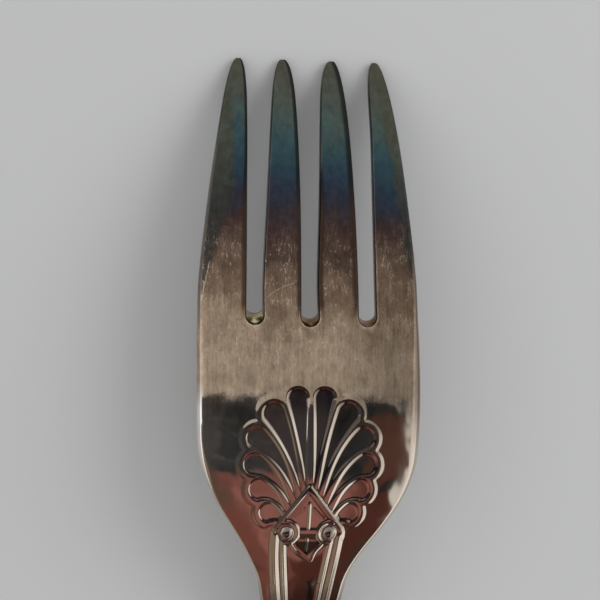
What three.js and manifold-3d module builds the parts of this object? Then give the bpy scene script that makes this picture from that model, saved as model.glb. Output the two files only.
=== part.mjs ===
// Salad fork, struck and pressed from one flat blank and silver plated.
// It lies face down, as on a table: four tine tips and the flat end of the handle touch it,
// and the back of the fork faces up. Millimetres, tines towards +Y, back towards +Z,
// origin in the middle of the footprint. A place on the fork is given by x, across, and s,
// the distance from the tine tips measured along the table.

import * as THREE from 'three';
import Module from 'manifold-3d';

// Overall sizes
const overallLength = 158;
const headLength = 68;
const headWidth = 27.3;
const neckWidth = 9.8;
const stemWidth = 7.2;
const handleWidth = 18.6;
const archHeight = 12.9;
const handleLength = overallLength - headLength;
const tipY = overallLength / 2;

// Metal thickness along the fork
const tipThickness = 1.0;
const tineThickness = 1.9;
const bowlThickness = 2.2;
const stemThickness = 3.1;
const handleThickness = 2.0;

// Crown of the back, from its middle line down to its edges
const bowlCrown = 1.3;
const stemCrown = 0.35;

// Tines and the slots between them
const slotLength = 33;
const slotRootWidth = 2.0;
const slotSpread = 1.4;
const slotRootCentre = 6.85;
const innerTipCentre = 3.05;
const outerTipCentre = 8.6;
const tipFlat = 0.3;
const tipRounding = 3.2;
const tineEdgeBack = 0.4;
const tineEdgeFront = 0.25;
const edgeRound = 0.75;

// Rounded end of the handle, and the roundings of the two ends in side view
const handleEndLength = 10.4;
const tipNose = 0.5;
const handleNose = 0.9;

// Struck ornament on the back: the palmette's rims, the pediment and its scrolls
const reliefHeight = 0.42;
const reliefDepth = 0.3;
const palmetteHalfWidth = 9.2;
const palmetteLength = 12.3;
const lobeRadius = 1.55;
const lobeRootHalf = 0.12;
const rimWidth = 0.8;
const rimRootWidth = 0.34;
const pedimentTop = 52.4;
const pedimentHalfWidth = 4.85;
const pedimentDrop = 5.1;
const pedimentLine = 0.5;
const scrollRadius = 1.3;
const bossRadius = 0.82;
const bossHeight = 0.6;
const barWidth = 0.55;
const fineLine = 0.36;

// Reeds along both edges of the back, from the pediment round the end of the handle
const reedWidth = 0.5;
const thinReedWidth = 0.32;
const reedHeight = 0.34;
const reedInset = 0.8;
const reedSpread = 1.76;
const reedHeelHalfWidth = 4.35;
const reedNeckHalfWidth = 3.66;

// Shapes of the curves, as shares of the sizes above
const headOutlineShares = [
  [0, 0.714], [0.03, 0.733], [0.1, 0.782], [0.27, 0.891], [0.45, 0.972], [0.62, 1],
  [0.72, 0.984], [0.775, 0.91], [0.83, 0.75], [0.885, 0.553], [0.935, 0.415],
];
const stemShare = 0.2;
const handleOutlineShares = [[0.36, 0.45], [0.56, 0.64], [0.74, 0.86]];
const archShares = [
  [0.147, 0.415], [0.294, 0.7], [0.441, 0.893], [0.544, 0.972], [0.647, 1],
  [0.735, 0.967], [0.838, 0.84], [0.926, 0.67],
];
const neckHeightShare = 0.5;
const handleArchShares = [[0.09, 0.3], [0.18, 0.19], [0.34, 0.142], [0.56, 0.112], [0.78, 0.087]];
const crownShares = [[0.22, 0.45], [0.5, 0.8], [0.66, 1], [0.84, 0.8]];
const tipHeightShare = 0.2;
const bluntShare = 0.45;
const slopeShare = 0.001;
const lastAngleShare = 0.98;
const rootEaseShare = 1.1;
const ridgeTopShare = 0.42;
const bossShares = [[0.92, 0.45], [0.6, 0.85], [0.2, 1]];
// Levels through the sheet, as shares of half its thickness, where the slots' edges round off
const levelShares = [-2, -1, -0.75, 0.6, 1, 2];
const spreadPower = 1.4;
const splayPower = 1.5;
const widenPower = 1.3;

// Palmette: where each lobe's spine starts, bends and ends, as shares of the palmette's half
// width across and of its length up from the pediment's top, and the size of its round end
const lobeShares = [
  { root: [0.043, -0.024], turn: [0.109, 0.431], end: [0.179, 0.87], round: 0.9 },
  { root: [0.103, -0.065], turn: [0.239, 0.382], end: [0.513, 0.732], round: 1 },
  { root: [0.168, -0.114], turn: [0.337, 0.293], end: [0.739, 0.48], round: 1 },
  { root: [0.234, -0.163], turn: [0.413, 0.122], end: [0.793, 0.228], round: 1 },
  { root: [0.299, -0.211], turn: [0.457, -0.049], end: [0.696, -0.024], round: 0.93 },
  { root: [0.359, -0.252], turn: [0.435, -0.244], end: [0.543, -0.26], round: 0.93 },
];

// Pediment: its lines as shares of its half width across and of its height down from its top
const pedimentShares = [[0, 0], [0.78, 0.7], [1, 0.94]];
const scrollShares = [0.53, 1.1];
const rayShares = [[0.117, 0.51], [0.372, 0.745]];
const stemBarShares = [[0, 0.412], [0, 0.98]];
const crossBarShares = [[-0.255, 1.078], [0.255, 1.078]];
const dropBarShares = [[0, 1.255], [0, 1.51]];
const dropShares = [[0, 1.824], [0.404, 1.392]];
// Reeds: how far in from the outermost one each lies, as a share of the group's spread
const reedShares = [
  { inward: 0, width: reedWidth },
  { inward: 0.43, width: reedWidth },
  { inward: 0.71, width: thinReedWidth },
  { inward: 1, width: reedWidth },
];
const scrollFrom = -Math.PI / 4;
const scrollTo = 1.15 * Math.PI;

// Numbers of facets
const acrossBack = 6;
const edgeSteps = 2;
const tipRows = 4;
const tineRows = 8;
const slotRows = 6;
const rootSteps = 7;
const headRows = 16;
const handleRows = 13;
const endRows = 7;
const lobeSteps = 6;
const roundSteps = 5;
const scrollSteps = 12;
const reedRows = 15;

// A smooth curve through points [along, value]: Hermite pieces with mean slopes
function through(points, along) {
  const last = points.length - 1;
  const at = THREE.MathUtils.clamp(along, points[0][0], points[last][0]);
  let i = 0;
  while (i < last - 1 && at > points[i + 1][0]) i += 1;
  const rise = (k) => (points[k + 1][1] - points[k][1]) / (points[k + 1][0] - points[k][0]);
  const slopeAt = (k) => {
    if (k === 0) return rise(0);
    if (k === last) return rise(last - 1);
    const before = rise(k - 1);
    const after = rise(k);
    return before * after <= 0 ? 0 : (2 * before * after) / (before + after);
  };
  const span = points[i + 1][0] - points[i][0];
  const t = (at - points[i][0]) / span;
  const blend = t * t * (3 - 2 * t);
  const bulge = t * (1 - t) * span * (slopeAt(i) * (1 - t) - slopeAt(i + 1) * t);
  return points[i][1] + (points[i + 1][1] - points[i][1]) * blend + bulge;
}

const onHead = (shares, size) => shares.map(([along, share]) => [along * headLength, share * size]);
const onHandle = (shares, size) =>
  shares.map(([along, share]) => [headLength + along * handleLength, share * size]);

const stemEnd = headLength + stemShare * handleLength;
const handleEndStart = overallLength - handleEndLength;
const outlinePoints = [
  ...onHead(headOutlineShares, headWidth / 2),
  [headLength, neckWidth / 2],
  [stemEnd, stemWidth / 2],
  ...onHandle(handleOutlineShares, handleWidth / 2),
  [handleEndStart, handleWidth / 2],
];
const archPoints = [
  [0, tipThickness * tipHeightShare],
  ...onHead(archShares, archHeight),
  [headLength, neckHeightShare * archHeight],
  ...onHandle(handleArchShares, archHeight),
  [handleEndStart, handleThickness / 2],
  [overallLength, handleThickness / 2],
];
const thicknessPoints = [
  [0, tipThickness],
  [slotLength / 2, tineThickness],
  [slotLength, bowlThickness],
  [headLength, stemThickness],
  [stemEnd, stemThickness],
  [handleEndStart, handleThickness],
];
const crownPoints = [
  [0, 0],
  ...onHead(crownShares, bowlCrown),
  [headLength, stemCrown],
  [stemEnd, 0],
];

const arch = (s) => through(archPoints, s);
const crown = (s) => through(crownPoints, s);

// Share of the full thickness left where an end is rounded off in side view
function nose(distance, radius) {
  const inside = 1 - THREE.MathUtils.clamp(distance / radius, 0, 1);
  return Math.sqrt(1 - inside * inside);
}

function thickness(s) {
  const left = Math.min(nose(s, tipNose), nose(overallLength - s, handleNose));
  return through(thicknessPoints, s) * (bluntShare + (1 - bluntShare) * left);
}

// How far the sides of a tine draw in towards its rounded tip
function tipDraw(s, amount) {
  const near = 1 - Math.sqrt(THREE.MathUtils.clamp(s / tipRounding, 0, 1));
  return amount * near;
}

// Half the width of the fork, with the round outline of the handle's end
const outerTipEdge = outerTipCentre + tipFlat / 2;
function halfWidth(s) {
  if (s > handleEndStart) {
    const past = Math.min((s - handleEndStart) / handleEndLength, 1);
    return (handleWidth / 2) * Math.sqrt(1 - past * past);
  }
  return through(outlinePoints, s) - tipDraw(s, outlinePoints[0][1] - outerTipEdge);
}

// The blank pressed to shape: a point lift above the middle of the sheet
const slopeStep = slopeShare * overallLength;
function bend(x, s, lift) {
  const slope = (arch(s + slopeStep) - arch(s - slopeStep)) / (2 * slopeStep);
  const scale = lift / Math.hypot(1, slope);
  const across = x / Math.max(halfWidth(s), stemWidth / 2);
  return new THREE.Vector3(x, tipY - s + scale * slope, arch(s) - crown(s) * across * across + scale);
}

const onBack = (x, s, lift) => bend(x, s, thickness(s) / 2 + lift);

// A closed body through loops of points, its two end loops filled by rungs across them
const wasm = await Module();
wasm.setup();
function solidFrom(loops) {
  const count = loops[0].length;
  const faces = [];
  const quad = (a, b, c, d) => faces.push(a, b, c, a, c, d);
  for (let ring = 0; ring + 1 < loops.length; ring += 1) {
    for (let i = 0; i < count; i += 1) {
      const next = (i + 1) % count;
      const low = ring * count;
      quad(low + i, low + next, low + count + next, low + count + i);
    }
  }
  const top = (loops.length - 1) * count;
  for (let i = 0; i + 1 < count / 2; i += 1) {
    const [a, b, c, d] = [i, i + 1, count - 2 - i, count - 1 - i];
    if (b === c) {
      faces.push(a, d, b, top + a, top + b, top + d);
    } else {
      quad(a, d, c, b);
      quad(top + a, top + b, top + c, top + d);
    }
  }
  const points = loops.flat();
  const corner = (k) => points[faces[k]];
  const normal = new THREE.Vector3();
  let volume = 0;
  for (let k = 0; k < faces.length; k += 3) {
    volume += corner(k).dot(normal.crossVectors(corner(k + 1), corner(k + 2)));
  }
  if (volume < 0) faces.reverse();
  const mesh = new wasm.Mesh({
    numProp: 3,
    vertProperties: new Float32Array(points.flatMap((p) => [p.x, p.y, p.z])),
    triVerts: new Uint32Array(faces),
  });
  return new wasm.Manifold(mesh);
}

// Evenly spaced values from one to another, both ends included
const steps = (from, to, count) =>
  Array.from({ length: count + 1 }, (_, i) => from + ((to - from) * i) / count);

// The section of the blank at s: a flat sheet with rounded edges
function section(s) {
  const half = halfWidth(s);
  const round = Math.min(edgeRound, half / 2);
  const lift = thickness(s) / 2;
  const side = [];
  for (let i = 0; i < edgeSteps; i += 1) {
    const angle = ((2 * i + 1) / (2 * edgeSteps + 1)) * (Math.PI / 2);
    side.push([half - round + round * Math.cos(angle), lift * Math.sin(angle)]);
  }
  const flat = steps(-(half - round), half - round, acrossBack).map((x) => [x, lift]);
  const back = [...side.map(([x, h]) => [-x, h]), ...flat, ...side.toReversed()];
  const front = back.toReversed().map(([x, h]) => [x, -h]);
  return [...back, ...front].map(([x, h]) => bend(x, s, h));
}

// Stations along the blank, closer where its outline and its arch turn
const lastAngle = lastAngleShare * (Math.PI / 2);
const endAngles = steps(0, lastAngle, endRows).slice(1);
const stations = [
  ...steps(0, tipRounding, tipRows),
  ...steps(tipRounding, slotLength, tineRows).slice(1),
  ...steps(slotLength, headLength, headRows).slice(1),
  ...steps(headLength, handleEndStart, handleRows).slice(1),
  ...endAngles.map((angle) => handleEndStart + handleEndLength * Math.sin(angle)),
];
let fork = solidFrom(stations.map(section));

// A slot: half its width at s, and its middle line, splayed a little towards the tips
const slotShare = (s) => 1 - THREE.MathUtils.clamp(s / slotLength, 0, 1);
const slotHalf = (s) => slotRootWidth / 2 + (slotSpread / 2) * slotShare(s) ** spreadPower;

// The cutter of one slot is a stack of outlines, wider at both faces to round the tines' edges
function slotCutter(rootCentre, tipCentre, tipHalf) {
  const draw = tipHalf - slotHalf(0);
  const radius = slotRootWidth / 2;
  const rootStart = slotLength - radius;
  const sideStations = [
    -tipRounding / 2,
    ...steps(0, tipRounding, tipRows),
    ...steps(tipRounding, rootStart, slotRows).slice(1),
  ];
  const middle = (s) => rootCentre - (rootCentre - tipCentre) * slotShare(s) ** splayPower;
  const outlineAt = (offset) => {
    const side = (sign) => sideStations.map((s) =>
      [middle(s) + sign * (slotHalf(s) + tipDraw(s, draw) + offset), s]);
    const turn = steps(0, Math.PI, rootSteps).slice(1, -1).map((angle) => {
      const reach = radius + offset * (1 + rootEaseShare * Math.sin(angle));
      return [rootCentre - (radius + offset) * Math.cos(angle), rootStart + reach * Math.sin(angle)];
    });
    return [...side(-1), ...turn, ...side(1).toReversed()];
  };
  const offsets = [2 * tineEdgeFront, tineEdgeFront, 0, 0, tineEdgeBack, 2 * tineEdgeBack];
  return solidFrom(levelShares.map((level, i) =>
    outlineAt(offsets[i]).map(([x, s]) => bend(x, s, (level * thickness(s)) / 2))));
}

const innerTipHalf = innerTipCentre - tipFlat / 2;
const outerTipHalf = (outerTipCentre - innerTipCentre - tipFlat) / 2;
const outerSlotTip = (outerTipCentre + innerTipCentre) / 2;
fork = fork.subtract(slotCutter(0, 0, innerTipHalf));
for (const side of [-1, 1]) {
  fork = fork.subtract(slotCutter(side * slotRootCentre, side * outerSlotTip, outerTipHalf));
}

// A raised line struck on the back along path, with a narrower, flat top
function ridge(path, widthAt, height) {
  const loops = path.map(([x, s], i) => {
    const [xBefore, sBefore] = path[Math.max(i - 1, 0)];
    const [xAfter, sAfter] = path[Math.min(i + 1, path.length - 1)];
    const length = Math.hypot(xAfter - xBefore, sAfter - sBefore);
    const [nx, ns] = [-(sAfter - sBefore) / length, (xAfter - xBefore) / length];
    const half = widthAt(i / (path.length - 1)) / 2;
    const point = (aside, lift) => onBack(x + nx * aside, s + ns * aside, lift);
    return [
      point(-half, -reliefDepth),
      point(-half * ridgeTopShare, height),
      point(half * ridgeTopShare, height),
      point(half, -reliefDepth),
    ];
  });
  fork = fork.add(solidFrom(loops));
}

const constant = (value) => () => value;
const mirrored = (path, side) => path.map(([x, s]) => [side * x, s]);

// A lobe of the palmette: a curved spine, with a half width that grows to a round end
const onPalmette = ([across, along]) =>
  new THREE.Vector2(across * palmetteHalfWidth, pedimentTop - along * palmetteLength);

function lobeRim(lobe, side) {
  const end = onPalmette(lobe.end);
  const radius = lobe.round * lobeRadius;
  const spine = new THREE.QuadraticBezierCurve(onPalmette(lobe.root), onPalmette(lobe.turn), end);
  const flank = (sign) => steps(0, 1, lobeSteps).slice(0, -1).map((share) => {
    const point = spine.getPoint(share);
    const ahead = spine.getTangent(share);
    const half = lobeRootHalf + (radius - lobeRootHalf) * share ** widenPower;
    return [point.x - sign * ahead.y * half, point.y + sign * ahead.x * half];
  });
  const ahead = spine.getTangent(1);
  const round = steps(-Math.PI / 2, Math.PI / 2, roundSteps).map((angle) => {
    const [forward, aside] = [radius * Math.cos(angle), radius * Math.sin(angle)];
    return [end.x + ahead.x * forward - ahead.y * aside, end.y + ahead.y * forward + ahead.x * aside];
  });
  const path = [...flank(-1), ...round, ...flank(1).toReversed()];
  const widthAt = (share) => rimRootWidth + (rimWidth - rimRootWidth) * Math.sin(Math.PI * share);
  ridge(mirrored(path, side), widthAt, reliefHeight);
}

// Reeds along both edges: half the distance between a pair of them at s
const reedStart = pedimentTop + pedimentDrop;
const reedHeelPoints = [
  [reedStart, reedHeelHalfWidth],
  [headLength, reedNeckHalfWidth],
  [stemEnd, stemWidth / 2 - reedInset],
];
function reedHalf(s) {
  return s > stemEnd ? halfWidth(s) - reedInset : through(reedHeelPoints, s);
}

function reed({ inward: share, width }) {
  const inward = share * reedSpread;
  const sideStations = steps(reedStart, handleEndStart, reedRows);
  const side = sideStations.map((s) => [reedHalf(s) - inward, s]);
  const endHalf = handleWidth / 2 - reedInset - inward;
  const endReach = handleEndLength - reedInset - inward;
  const round = steps(0, Math.PI, 2 * roundSteps).slice(1, -1).map((angle) =>
    [endHalf * Math.cos(angle), handleEndStart + endReach * Math.sin(angle)]);
  ridge([...side, ...round, ...mirrored(side, -1).toReversed()], constant(width), reedHeight);
}

// A low round boss
function boss(x, s) {
  const loops = [[1, -reliefDepth / bossHeight], ...bossShares].map(([share, rise]) =>
    steps(0, 2 * Math.PI, 2 * roundSteps).slice(0, -1).map((angle) => {
      const reach = bossRadius * share;
      return onBack(x + reach * Math.cos(angle), s + reach * Math.sin(angle), rise * bossHeight);
    }));
  fork = fork.add(solidFrom(loops));
}

const onPediment = ([across, along]) =>
  [across * pedimentHalfWidth, pedimentTop + along * pedimentDrop];

for (const side of [-1, 1]) {
  for (const lobe of lobeShares) lobeRim(lobe, side);
}
for (const share of reedShares) reed(share);
const [scrollX, scrollS] = onPediment(scrollShares);
for (const side of [-1, 1]) {
  const slope = [...pedimentShares.map(onPediment), [reedHeelHalfWidth, reedStart]];
  ridge(mirrored(slope, side), constant(pedimentLine), reliefHeight);
  const scroll = steps(scrollFrom, scrollTo, scrollSteps).map((angle) =>
    [scrollX - scrollRadius * Math.cos(angle), scrollS - scrollRadius * Math.sin(angle)]);
  ridge(mirrored(scroll, side), constant(pedimentLine), reliefHeight);
  boss(side * scrollX, scrollS);
  ridge(mirrored(dropShares.map(onPediment), side), constant(fineLine), reliefHeight);
  ridge(mirrored(rayShares.map(onPediment), side), constant(fineLine), reliefHeight);
}
for (const bar of [stemBarShares, crossBarShares, dropBarShares]) {
  ridge(bar.map(onPediment), constant(barWidth), reliefHeight);
}

const result = fork.getMesh();
const geometry = new THREE.BufferGeometry();
geometry.setAttribute('position', new THREE.BufferAttribute(result.vertProperties, 3));
geometry.setIndex(new THREE.BufferAttribute(result.triVerts, 1));
geometry.computeVertexNormals();

const silverPlate = new THREE.MeshStandardMaterial({ color: 0xb5aa9c, roughness: 0.25, metalness: 1 });
const mesh = new THREE.Mesh(geometry, silverPlate);
mesh.name = 'fork';

const saladFork = new THREE.Group();
saladFork.name = 'salad_fork';
saladFork.add(mesh);

export default saladFork;
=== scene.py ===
"""A worn, silver-plated salad fork lying face down on a pale table.

The fork is one piece of metal, so it is one piece here. Its surface is a grid over the blank, in millimetres:
x across, s along the table from the tine tips. The grid is pressed into the fork's curve and the ornament is
struck into its back. It is turned into metres when the mesh is made.
"""
import math

import bpy
import numpy as np
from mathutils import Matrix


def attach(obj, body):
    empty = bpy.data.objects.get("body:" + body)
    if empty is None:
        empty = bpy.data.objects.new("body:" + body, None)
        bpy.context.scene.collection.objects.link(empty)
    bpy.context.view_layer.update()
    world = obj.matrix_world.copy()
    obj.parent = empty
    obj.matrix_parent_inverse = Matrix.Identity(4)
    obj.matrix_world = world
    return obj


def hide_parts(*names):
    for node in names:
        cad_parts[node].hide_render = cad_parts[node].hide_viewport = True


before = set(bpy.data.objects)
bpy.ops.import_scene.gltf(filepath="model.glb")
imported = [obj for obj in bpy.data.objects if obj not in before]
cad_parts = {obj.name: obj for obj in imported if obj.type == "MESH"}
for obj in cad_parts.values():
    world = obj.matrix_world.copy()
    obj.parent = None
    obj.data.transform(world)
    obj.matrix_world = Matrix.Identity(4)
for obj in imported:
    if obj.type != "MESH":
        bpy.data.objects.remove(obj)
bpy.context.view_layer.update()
MM = 0.001

# The blank. A flat bar of nickel silver, cut to the outline of the fork, rolled thinner towards both ends
# and pressed over a form. Its sizes are the CAD fork's.
LENGTH = 158.0
HEAD_LENGTH = 68.0
HANDLE_LENGTH = LENGTH - HEAD_LENGTH
TIP_Y = LENGTH / 2
HEAD_HALF = 13.65
NECK_HALF = 4.9
STEM_HALF = 3.6
HANDLE_HALF = 9.3
ARCH_HEIGHT = 12.9
STEM_END = HEAD_LENGTH + 0.2 * HANDLE_LENGTH
END_LENGTH = 10.4
END_START = LENGTH - END_LENGTH
TIP_THICKNESS, TINE_THICKNESS, BOWL_THICKNESS, STEM_THICKNESS, HANDLE_THICKNESS = 1.0, 1.9, 2.2, 3.1, 2.0
BOWL_CROWN = 1.3
STEM_CROWN = 0.35
TIP_NOSE = 0.5
NOSE_SHARE = 0.45
SLOT_LENGTH = 33.0
LONGER_TIP, TIP_SLANT, LONGER_UNTIL = 0.3, 0.018, 10

HEAD_OUTLINE_SHARES = [
    (0, 0.714), (0.03, 0.733), (0.1, 0.782), (0.27, 0.891), (0.45, 0.972), (0.62, 1),
    (0.72, 0.984), (0.775, 0.91), (0.83, 0.75), (0.885, 0.553), (0.935, 0.415),
]
HANDLE_OUTLINE_SHARES = [(0.36, 0.45), (0.56, 0.64), (0.74, 0.86)]
ARCH_SHARES = [
    (0.147, 0.415), (0.294, 0.7), (0.441, 0.893), (0.544, 0.972), (0.647, 1),
    (0.735, 0.967), (0.838, 0.84), (0.926, 0.67), (1, 0.5),
]
HANDLE_ARCH_SHARES = [(0.09, 0.3), (0.18, 0.19), (0.34, 0.142), (0.56, 0.112), (0.78, 0.087)]
CROWN_SHARES = [(0.22, 0.45), (0.5, 0.8), (0.66, 1), (0.84, 0.8)]
SWAY = [(0, 0), (57, 0), (60, -0.25), (66, -0.38), (78, -0.42), (110, -0.2), (END_START, 0), (LENGTH, 0)]
STATION_STEP = 0.05
EASE = 1.2
EASE_REACH = 4
SLOPE_STEP = 0.1


def rise(value):
    """A smooth step from 0 to 1."""
    value = np.clip(value, 0, 1)
    return value * value * (3 - 2 * value)


def through(points, along):
    """A smooth curve through points (along, value): cubic pieces whose slope at a point is the harmonic mean of
    the slopes on both sides, or level where they differ in sign."""
    at, value = np.array(points, float).T
    gain = np.diff(value) / np.diff(at)
    product = gain[:-1] * gain[1:]
    total = np.where(product > 0, gain[:-1] + gain[1:], 1)
    slope = np.concatenate([gain[:1], np.where(product > 0, 2 * product / total, 0), gain[-1:]])
    place = np.clip(along, at[0], at[-1])
    i = np.clip(np.searchsorted(at, place, side="right") - 1, 0, len(at) - 2)
    span = at[i + 1] - at[i]
    t = (place - at[i]) / span
    blend = rise(t)
    return value[i] + (value[i + 1] - value[i]) * blend + t * (1 - t) * span * (
        slope[i] * (1 - t) - slope[i + 1] * t
    )


STATIONS = np.arange(0, LENGTH + STATION_STEP, STATION_STEP)


def eased(points):
    """The same curve as a function of s, with its kinks in curvature averaged out by a bell-shaped weight, because
    polished metal shows them in its reflections."""
    reach = int(EASE_REACH * EASE / STATION_STEP)
    weight = np.exp(-0.5 * (np.arange(-reach, reach + 1) * STATION_STEP / EASE) ** 2)
    values = through(points, STATIONS)
    before = 2 * values[0] - values[reach:0:-1]
    after = 2 * values[-1] - values[-2:-reach - 2:-1]
    padded = np.concatenate([before, values, after])
    smooth = np.convolve(padded, weight / weight.sum(), mode="valid")
    return lambda s: np.interp(s, STATIONS, smooth)


def on_head(shares, size):
    return [(a * HEAD_LENGTH, b * size) for a, b in shares]


def on_handle(shares, size):
    return [(HEAD_LENGTH + a * HANDLE_LENGTH, b * size) for a, b in shares]


side_line = eased([
    *on_head(HEAD_OUTLINE_SHARES, HEAD_HALF), (HEAD_LENGTH, NECK_HALF), (STEM_END, STEM_HALF),
    *on_handle(HANDLE_OUTLINE_SHARES, HANDLE_HALF), (END_START, HANDLE_HALF), (LENGTH, HANDLE_HALF),
])
arch = eased([
    (0, 0.2 * TIP_THICKNESS), *on_head(ARCH_SHARES, ARCH_HEIGHT), *on_handle(HANDLE_ARCH_SHARES, ARCH_HEIGHT),
    (END_START, HANDLE_THICKNESS / 2), (LENGTH, HANDLE_THICKNESS / 2),
])
thickness_line = eased([
    (0, TIP_THICKNESS), (SLOT_LENGTH / 2, TINE_THICKNESS), (SLOT_LENGTH, BOWL_THICKNESS),
    (HEAD_LENGTH, STEM_THICKNESS), (STEM_END, STEM_THICKNESS), (END_START, HANDLE_THICKNESS),
    (LENGTH, HANDLE_THICKNESS),
])
crown = eased([(0, 0), *on_head(CROWN_SHARES, BOWL_CROWN), (HEAD_LENGTH, STEM_CROWN), (STEM_END, 0), (LENGTH, 0)])
sway = eased(SWAY)


def thickness(s):
    """The sheet's thickness, drawn down over the last half millimetre of a tine as a quarter circle is."""
    inside = 1 - np.clip(s / TIP_NOSE, 0, 1)
    return thickness_line(s) * (NOSE_SHARE + (1 - NOSE_SHARE) * np.sqrt(1 - inside * inside))


def press(x, s, lift):
    """The pressed place of a point lift above the middle of the sheet: along the curve's own normal, less a crown
    that grows with the square of x. The worn stem sways a little to the left, and the tips' left sides are longer."""
    slope = (arch(s + SLOPE_STEP) - arch(s - SLOPE_STEP)) / (2 * SLOPE_STEP)
    scale = lift / np.hypot(1, slope)
    across = x / np.maximum(side_line(s), STEM_HALF)
    z = arch(s) - crown(s) * across ** 2 + scale
    longer = (LONGER_TIP - TIP_SLANT * x) * np.clip(1 - s / LONGER_UNTIL, 0, 1) ** 2
    return np.stack([x + sway(s), TIP_Y - s + longer + scale * slope, np.maximum(z, 0)], axis=-1)


# The tines. Three slots are cut into the head and their edges are filed round; each tine is drawn in to a
# rounded point. Use has worn each side of a tine by its own amount, which WEAR_SHIFTS holds.
SLOT_ROOT_HALF = 1.0
ROOT_START = SLOT_LENGTH - SLOT_ROOT_HALF
SLOT_SPREAD_HALF = 0.7
SLOT_ROOTS = np.array([-6.85, 0, 6.85])
SLOT_TIPS = np.array([-5.825, 0, 5.825])
TIP_DRAWS = np.array([0.925, 1.2, 0.925])
OUTER_TIP_EDGE = 8.75
TIP_ROUNDING = 5.6
SPLAY_POWER, SPREAD_POWER = 1.5, 1.4
STRAIGHT_START = 5.0
WEAR_STATIONS = [0, 8, 18, 28, SLOT_LENGTH, 44]
WEAR_SHIFTS = np.array([
    [0.28, -0.12, -0.42, -0.58, -0.4, -0.08], [0.25, 0.27, 0.16, 0.08, 0.02, 0],
    [0.3, 0.14, 0.03, -0.14, -0.03, 0], [0.3, 0.35, 0.22, -0.02, -0.1, 0],
    [0.44, 0.16, -0.02, -0.25, -0.14, 0], [0.44, 0.6, 0.42, 0.2, 0.12, 0],
    [0.35, 0.32, 0.1, 0.03, 0.07, 0], [0.3, 0.47, 0.28, 0.13, 0, 0],
])
ROOT_SHIFTS = np.array([0, 0.2, 0.15])
ROOT_SHIFT_REACH = 3
BULGE_REACH = 2.6
ROOT_LEANS = np.array([1.9, 1.4, 1.15])
ROOT_CREST = 46
LEAN_REACH = 5.5
# Painted shade: a dark band along the sides of the slots. The next lists give its reach on each side of each tine at
# the tips and at the roots, where it deepens and where it ends.
SLOT_SHADE_AT_TIPS = [0, 0.1, 0, 0.25, 0, 0.5, 0, 0]
SLOT_SHADE_AT_ROOTS = [0, 0.45, 0, 0.35, 0.45, 0.55, 0, 0]
SLOT_SHADE_DEEPENS, SLOT_SHADE_DEEPENING = 12, 10
SLOT_SHADE_END, SLOT_SHADE_FADE = ROOT_START - 1, 1.5
SLOT_SHADE_SPREAD, SLOT_SHADE_LEAST, SLOT_SHADE_FULL = 1.3, 0.001, 0.1
LEFT_WEAR = [
    (SLOT_LENGTH, -0.35), (40, -0.2), (47, -0.2), (50, -0.08), (54, 0.16), (59, 0.16), (62, 0), (LENGTH, 0),
]
TINE_EDGE, ROOT_EDGE, BOWL_EDGE, HEEL_EDGE, NECK_EDGE, STEM_EDGE = 0.42, 0.4, 0.6, 1.1, 0.35, 0.5
outer_edge = eased([
    (0, TINE_EDGE), (25, BOWL_EDGE), (44, HEEL_EDGE), (49, HEEL_EDGE), (54, NECK_EDGE), (62, NECK_EDGE),
    (72, STEM_EDGE), (LENGTH, STEM_EDGE),
])
TINE_COLUMNS, GAP_COLUMNS = 44, 20
PERIOD = TINE_COLUMNS + GAP_COLUMNS
COLUMNS = 4 * TINE_COLUMNS + 3 * GAP_COLUMNS
TIP_ROWS, SIDE_ROWS, ARC_ROWS = 12, 22, 6
TINE_ROWS = TIP_ROWS + SIDE_ROWS + ARC_ROWS
BOWL_ROWS, HEEL_ROWS, HANDLE_ROWS, END_ROWS = 8, 236, 36, 28
ROWS = TINE_ROWS + BOWL_ROWS + HEEL_ROWS + HANDLE_ROWS + END_ROWS
HEEL_START, HEEL_END = 39.3, 64.3
EASED_BY = 39.0
GATHER = 0.8
END_TURN = 0.985 * math.pi / 2
RIGHT_EDGE = [(50, 0), (54, 0.4), (66, 0.4), (72, 0), (LENGTH, 0)]
RIM_ANGLES = [68, 46, 30, 12, -20, -55, -90]


def tip_draw(s):
    """Share of a tip's drawing-in at s: a parabola's side at the tip, which runs smoothly into the tine."""
    return (1 - np.sqrt(np.clip(s / TIP_ROUNDING, 0, 1))) ** 2


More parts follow.
